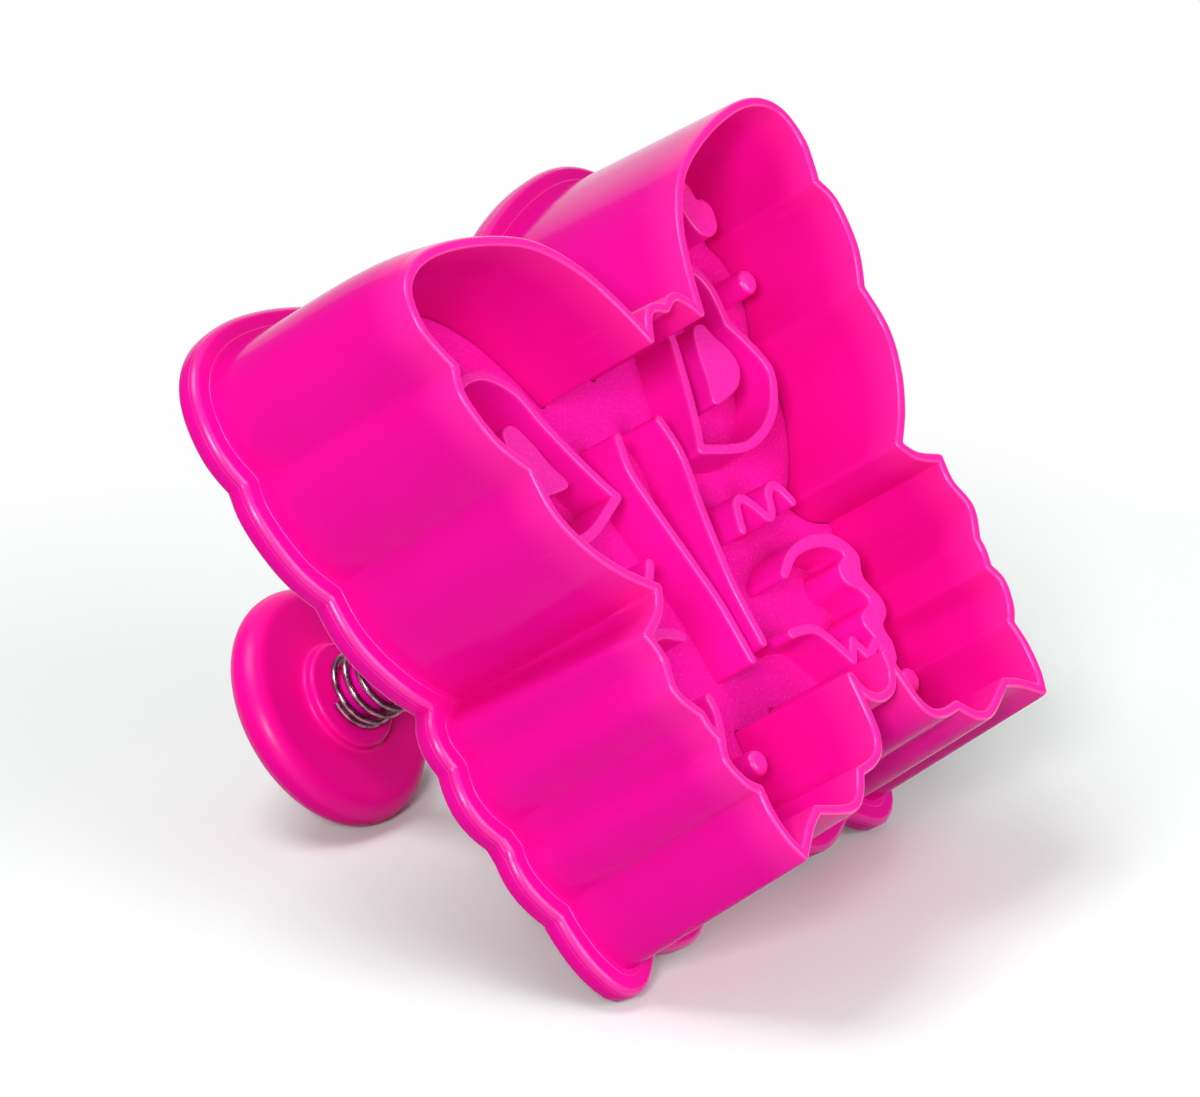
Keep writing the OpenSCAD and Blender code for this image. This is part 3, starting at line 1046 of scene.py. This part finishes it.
@dataclass
class Plunger:
    """The stem, the knob and its cap.

    Attributes:
        stem_r: Radius of the stem inside the spring.
        guide_r: Radius of the stem in the sleeve.
        guide_edge: Chamfer of the stem's lower end.
        shoulder_z: Level of the stem's stop shoulder.
        shoulder_edge: Chamfer of that shoulder.
        pilot_r: Radius of the screw's hole in the stem.
        pilot_h: Depth of that hole.
        knob_r: Radius of the knob.
        rim_r: Radius of the knob's rounded rim.
        fit: Clearance round the stem and the cap.
        bore_edge: Chamfer of the knob's bore.
        boss_r: Radius of the ring on the knob's underside.
        boss_h: Height of that ring.
        boss_edge_r: Radius of that ring's edge and of the fillet round it.
        web_t: Thickness of the web over the stem.
        web_r: Radius of the screw's hole in the web.
        ledge_w: Width of the ledge that carries the cap.
        cap_t: Thickness of the cap at its edge.
        cap_edge: Chamfer of the knob round the cap.
        cap_rim: Points of the cap's broken edge, in from its side and down from the foot of its dome.
    """

    stem_r: float = 2.6
    guide_r: float = 2.1
    guide_edge: float = 0.3
    shoulder_z: float = 34.0
    shoulder_edge: float = 0.15
    pilot_r: float = 1.25
    pilot_h: float = 7.0
    knob_r: float = 12.05
    rim_r: float = 2.0
    fit: float = 0.05
    bore_edge: float = 0.2
    boss_r: float = 5.4
    boss_h: float = 1.2
    boss_edge_r: float = 0.45
    web_t: float = 0.8
    web_r: float = 1.28
    ledge_w: float = 1.4
    cap_t: float = 0.8
    cap_edge: float = 0.12
    cap_rim: tuple[Pair, Pair] = ((0.0, 0.15), (0.1, 0.02))

    def stem(self) -> bpy.types.Object:
        """Builds the stem and returns its object."""
        low, high = span("plunger_stem")
        pilot_z = high - self.pilot_h
        solid = Solid()
        solid.turned([
            (0, low), (self.guide_r - self.guide_edge, low), (self.guide_r, low + self.guide_edge),
            (self.guide_r, self.shoulder_z), (self.stem_r - self.shoulder_edge, self.shoulder_z),
            (self.stem_r, self.shoulder_z + self.shoulder_edge), (self.stem_r, high), (self.pilot_r, high),
            (self.pilot_r, pilot_z), (0, pilot_z)], plunger_axis(), sides=64)
        stem = solid.piece("stem_moulding", STAMP_PLASTIC)
        return placed(stem, "plunger", "stamp_plastic", "plunger_stem")

    def knob(self) -> bpy.types.Object:
        """Builds the knob and returns its object."""
        boss_z, top = span("knob")
        under = boss_z + self.boss_h
        edge = self.boss_edge_r
        rim_x = self.knob_r - self.rim_r
        cap_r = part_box("knob_cap")[1].x / MM + self.fit
        cap_z = top - self.cap_t
        ledge_r = cap_r - self.ledge_w
        stem_top = span("plunger_stem")[1]
        web = stem_top + self.web_t
        bore_r = self.stem_r + self.fit
        bore = (bore_r, boss_z + self.bore_edge)
        solid = Solid()
        solid.turned([
            bore, (bore_r + self.bore_edge, boss_z), (self.boss_r - edge, boss_z),
            *arc((self.boss_r - edge, boss_z + edge), edge, -90, 0, 6),
            *arc((self.boss_r + edge, under - edge), edge, 180, 90, 6),
            *arc((rim_x, under + self.rim_r), self.rim_r, -90, -2, 20),
            *arc((rim_x, top - self.rim_r), self.rim_r, 2, 90, 20),
            (cap_r + self.cap_edge, top), (cap_r, top - self.cap_edge), (cap_r, cap_z), (ledge_r, cap_z),
            (ledge_r, web), (self.web_r, web), (self.web_r, stem_top), (bore_r, stem_top), bore,
        ], plunger_axis())
        return placed(solid.piece("knob_moulding", KNOB_PLASTIC), "plunger", "knob_plastic", "knob")

    def cap(self) -> bpy.types.Object:
        """Builds the cap and returns its object."""
        low, high = span("knob_cap")
        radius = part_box("knob_cap")[1].x / MM
        edge_z = low + self.cap_t
        rise = high - edge_z
        dome_r = (radius**2 + rise**2) / (2 * rise)
        half = math.degrees(math.asin(radius / dome_r))
        dome = arc((0, high - dome_r), dome_r, 90 - half, 90, 14)
        rim = [(radius - inward, edge_z - down) for inward, down in self.cap_rim]
        solid = Solid()
        solid.turned([(0, low), (radius, low), *rim, *dome[1:]], plunger_axis())
        cap = solid.piece("knob_cap_moulding", KNOB_PLASTIC)
        return placed(cap, "plunger", "knob_plastic", "knob_cap")


@dataclass
class ReturnSpring:
    """The compression spring between the roof and the knob.

    Attributes:
        wire_d: Diameter of the wire.
        turns: Number of turns.
        end_turns: Number of close turns at each end.
        gap: Gap between the close turns.
        per_turn: Steps in a turn.
        sides: Sides of the wire's section.
    """

    wire_d: float = 0.7
    turns: int = 18
    end_turns: int = 1
    gap: float = 0.05
    per_turn: int = 40
    sides: int = 14

    def build(self) -> bpy.types.Object:
        """Builds the spring.

        Returns:
            The spring's object.
        """
        low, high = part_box("return_spring")
        bottom, top = low.z / MM + self.wire_d / 2, high.z / MM - self.wire_d / 2
        coil_r = high.x / MM - self.wire_d / 2
        rise = self.wire_d + self.gap
        turn = np.arange(self.turns * self.per_turn + 1) / self.per_turn
        knots = [0, self.end_turns, self.turns - self.end_turns, self.turns]
        levels = [bottom, bottom + rise * self.end_turns, top - rise * self.end_turns, top]
        z = np.interp(turn, knots, levels)
        window = self.per_turn // 2 + 1
        z = np.convolve(np.pad(z, self.per_turn // 4, "edge"), np.ones(window), "valid") / window
        around = np.linspace(0, math.tau, self.sides, endpoint=False)
        angle = math.tau * turn
        radius = coil_r + self.wire_d / 2 * np.cos(around)[None, :]
        middle = plunger_axis()
        x = middle[0] + radius * np.cos(angle)[:, None]
        y = middle[1] + radius * np.sin(angle)[:, None]
        height = z[:, None] + self.wire_d / 2 * np.sin(around)[None, :]
        solid = Solid()
        rings = [
            [solid.bm.verts.new((a * MM, b * MM, c * MM)) for a, b, c in zip(x[i], y[i], height[i])]
            for i in range(len(turn))
        ]
        solid.loft(rings)
        for end in (rings[0], rings[-1]):
            solid.bm.faces.new(end)
        spring = solid.piece("spring_wire", SPRING_STEEL)
        placed(spring, "cutter", "spring_steel", "return_spring")
        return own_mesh(spring)


@dataclass(frozen=True)
class Lamp:
    """A square lamp that faces the cutter.

    Attributes:
        name: The lamp's name.
        place: Where it hangs, to the right, up and towards the camera, in metres.
        size: Its width in metres.
        power: Its power in watts.
    """

    name: str
    place: Triple
    size: float
    power: float


@dataclass
class Studio:
    """The floor that the cutter leans on, the camera and the lights.

    Attributes:
        eye: Place of the camera.
        aim: Point that the camera looks at.
        upright: Direction that points up in the picture.
        lens: Focal length.
        sensor: Width of the sensor.
        floor_size: Width of the floor.
        floor_gap: How far the floor lies under the cutter.
        sky: Strength of the even light from all round.
        backdrop: Cosines of the angles from straight ahead between which the backdrop ends in reflections.
        lit: Point that the lamps face.
        lamps: The lamps.
    """

    eye: Triple = (493.16, 4.16, -320.82)
    aim: Triple = (9.24, 1.21, 13.17)
    upright: Triple = (-0.2839, 0.8697, -0.4037)
    lens: float = 195.0
    sensor: float = 36.0
    floor_size: float = 3000.0
    floor_gap: float = 0.05
    sky: float = 0.34
    backdrop: Pair = (0.79, 0.80)
    lit: Triple = (0.0, 0.0, 30.0)
    lamps: tuple[Lamp, ...] = (
        Lamp("top", (-0.36, 0.92, 0.1), 0.5, 4.6),
        Lamp("front", (-0.12, 0.42, 0.9), 0.2, 6.2),
        Lamp("side", (0.75, 0.3, 0.59), 0.7, 6.2),
    )

    def up(self) -> Vector:
        """The floor's upward direction: it touches the lower wings' flange and the knob's rim."""
        flange_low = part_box("cutter_shell")[0].y
        knob_low, knob_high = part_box("knob")
        rim = Plunger.rim_r * MM
        run = (knob_high.z - rim) - CutterShell().roof_top * MM
        drop = (knob_low.y + rim) - flange_low
        tilt = math.atan2(drop, run) - math.asin(rim / math.hypot(run, drop))
        return Vector((0, math.cos(tilt), -math.sin(tilt)))

    def axes(self) -> tuple[Vector, Vector, Vector]:
        """Right, up and towards the camera, along the floor."""
        up = self.up()
        ahead = Vector(self.aim) - Vector(self.eye)
        right = ahead.cross(up).normalized()
        return right, up, right.cross(up)

    def floor(self) -> None:
        """Lays the floor under the flange's lowest edge."""
        right, up, towards = self.axes()
        touch = Vector((0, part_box("cutter_shell")[0].y, CutterShell().roof_top * MM))
        middle = touch - up * self.floor_gap * MM
        half = self.floor_size / 2 * MM
        ways = ((-1, -1), (-1, 1), (1, 1), (1, -1))
        corners = [middle + right * a * half + towards * b * half for a, b in ways]
        mesh = bpy.data.meshes.new("floor")
        mesh.from_pydata(corners, [], [(0, 1, 2, 3)])
        mesh.materials.append(FLOOR_PAPER.material())
        floor = bpy.data.objects.new("floor", mesh)
        bpy.context.scene.collection.objects.link(floor)

    def camera(self) -> None:
        """Sets up the camera of the photograph."""
        data = bpy.data.cameras.new("camera")
        data.lens = self.lens
        data.sensor_width = self.sensor
        data.clip_start = 0.01
        data.clip_end = 20.0
        eye, aim = Vector(self.eye) * MM, Vector(self.aim) * MM
        ahead = (aim - eye).normalized()
        right = ahead.cross(Vector(self.upright)).normalized()
        turned = Matrix((right, right.cross(ahead), -ahead)).transposed().to_4x4()
        made = bpy.data.objects.new("camera", data)
        made.matrix_world = Matrix.Translation(eye) @ turned
        bpy.context.scene.collection.objects.link(made)
        bpy.context.scene.camera = made

    def hang(self, lamp: Lamp) -> None:
        """Hangs a lamp."""
        data = bpy.data.lights.new(lamp.name, "AREA")
        data.size = lamp.size
        data.energy = lamp.power
        made = bpy.data.objects.new(lamp.name, data)
        middle = Vector(self.lit) * MM
        shares = zip(self.axes(), lamp.place)
        made.location = middle + sum((axis * share for axis, share in shares), Vector())
        made.rotation_mode = "QUATERNION"
        made.rotation_quaternion = (middle - made.location).to_track_quat("-Z", "Y")
        bpy.context.scene.collection.objects.link(made)

    def world(self) -> None:
        """Surrounds the cutter with even light, and shows the camera a white backdrop."""
        world = bpy.data.worlds.new("studio")
        bpy.context.scene.world = world
        graph = Graph(world)
        sky = graph.add("ShaderNodeBackground", None, {"Strength": self.sky})
        backdrop = graph.add("ShaderNodeBackground", None, {"Strength": 1.0})
        for light in (sky, backdrop):
            light.inputs["Color"].default_value = (1.0, 1.0, 1.0, 1.0)
        ahead = tuple(-self.axes()[2])
        way = graph.value("ShaderNodeTexCoord", "Generated")
        straight = graph.value(
            "ShaderNodeVectorMath", "Value", {"operation": "DOT_PRODUCT"}, {0: way, 1: ahead})
        panel = straight.ramp(*self.backdrop)
        graph.finish(graph.mix_shader(graph.seen(panel), sky, backdrop), "ShaderNodeOutputWorld")

    def build(self) -> None:
        """Builds the studio."""
        bpy.context.scene.view_settings.view_transform = "Standard"
        self.floor()
        self.camera()
        for lamp in self.lamps:
            self.hang(lamp)
        self.world()
        LOG.info("studio: floor, camera and lights")


def main() -> None:
    """Builds every piece, dresses the solids that stay and sets up the studio."""
    logging.basicConfig(level=logging.INFO, format="%(name)s: %(message)s")
    Studio().build()
    CutterShell().build()
    Stamp().build()
    plunger = Plunger()
    plunger.stem()
    plunger.knob()
    plunger.cap()
    ReturnSpring().build()
    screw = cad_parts["stem_screw"]
    screw.data.materials.clear()
    screw.data.materials.append(SPRING_STEEL.material())
    LOG.info("%s: %d faces, its own solid", screw.name, len(screw.data.polygons))


if __name__ == "__main__":
    main()
